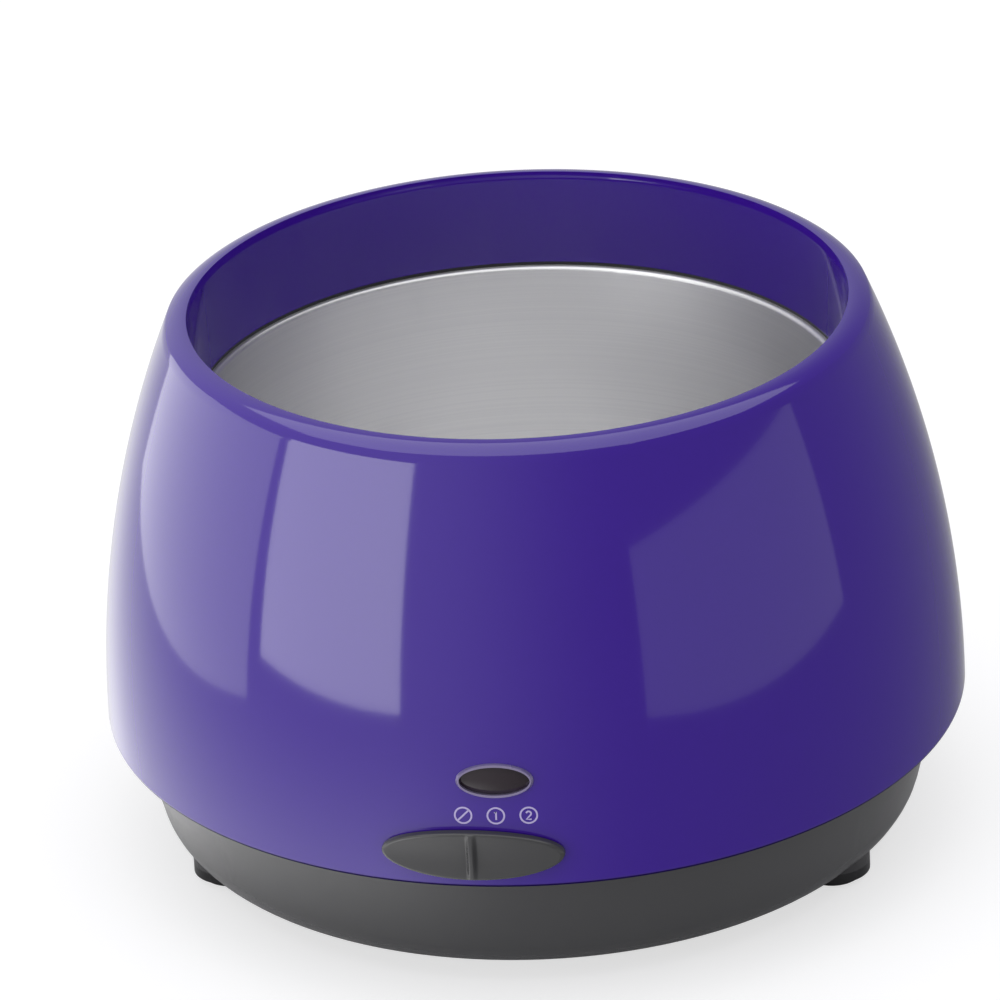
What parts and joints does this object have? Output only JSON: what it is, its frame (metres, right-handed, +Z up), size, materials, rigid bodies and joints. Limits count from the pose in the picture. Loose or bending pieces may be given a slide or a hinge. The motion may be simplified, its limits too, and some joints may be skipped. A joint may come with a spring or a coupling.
{
  "type": "electric chocolate melting pot",
  "caption": "Small electric warmer: a bulged moulded shell round an open heated aluminium well, with a sliding heat selector and lamp window at the front, on a grey base with rubber feet.",
  "frame": {"origin": "on the table, on the pot's axis", "axes": "+Z up along the pot's axis, -Y out of the front with the selector, +Y towards the cord inlet"},
  "size_m": [0.1852, 0.1875, 0.1209],
  "materials": {
    "shell": "high-gloss moulded blue-violet plastic",
    "grey_plastic": "satin moulded mid-grey plastic",
    "well_aluminium": "satin spun aluminium",
    "silicone": "matt black silicone",
    "steel": "bright zinc-plated steel",
    "mica": "pressed mica board",
    "ribbon": "dull resistance alloy",
    "sheet": "plain aluminium sheet",
    "brass": "bright brass",
    "phenolic": "dull black phenolic",
    "wafer": "brown laminate",
    "bezel": "silvery lilac satin ring",
    "lens": "dark tinted glossy plastic",
    "lamp": "clear glass",
    "white_plastic": "off-white plastic",
    "black_plastic": "satin black plastic",
    "rubber": "matt black rubber",
    "wire_jacket": "white silicone jacket"
  },
  "bodies": {
    "pot": {"housing": "shell", "base_pan": "grey_plastic", "heating_well": "well_aluminium", "well_seal": "silicone", "well_screws": "steel", "well_studs": "steel", "upper_mica": "mica", "heater_ribbon": "ribbon", "lower_mica": "mica", "heater_terminals": "brass", "clamp_plate": "steel", "clamp_nuts": "steel", "thermostat_cap": "sheet", "thermostat_body": "phenolic", "thermostat_tabs": "brass", "thermostat_strap": "steel", "thermal_fuse": "sheet", "fuse_clip": "sheet", "strap_screws": "steel", "shield_spacers": "sheet", "heat_shield": "sheet", "shield_nuts": "steel", "indicator_bezel": "bezel", "indicator_lens": "lens", "lamp_holder": "white_plastic", "indicator_lamp": "lamp", "switch_frame": "steel", "switch_wafer": "wafer", "switch_terminals": "brass", "switch_screws": "steel", "detent_spring": "steel", "cord_gland": "rubber", "terminal_block": "white_plastic", "terminal_screws": "brass", "block_screw": "steel", "base_screws": "steel", "feet": "rubber", "lead_wires": "wire_jacket"},
    "selector": {"selector_knob": "grey_plastic", "selector_carriage": "black_plastic", "selector_screw": "steel"},
    "switch_slide": {"switch_actuator": "black_plastic", "moving_contact": "brass"}
  },
  "joints": [
    {"name": "selector_turn", "type": "hinge", "parent": "pot", "child": "selector", "pos_m": [0, 0, 0.0383], "axis": [0, 0, 1], "range_deg": [0, 6.4]},
    {"name": "switch_travel", "type": "slide", "parent": "pot", "child": "switch_slide", "axis": [1, 0, 0], "range_m": [0, 0.00929]}
  ],
  "couplings": [
    {"joint": "switch_travel", "follows": "selector_turn", "m_per_rad": 0.083178}
  ]
}
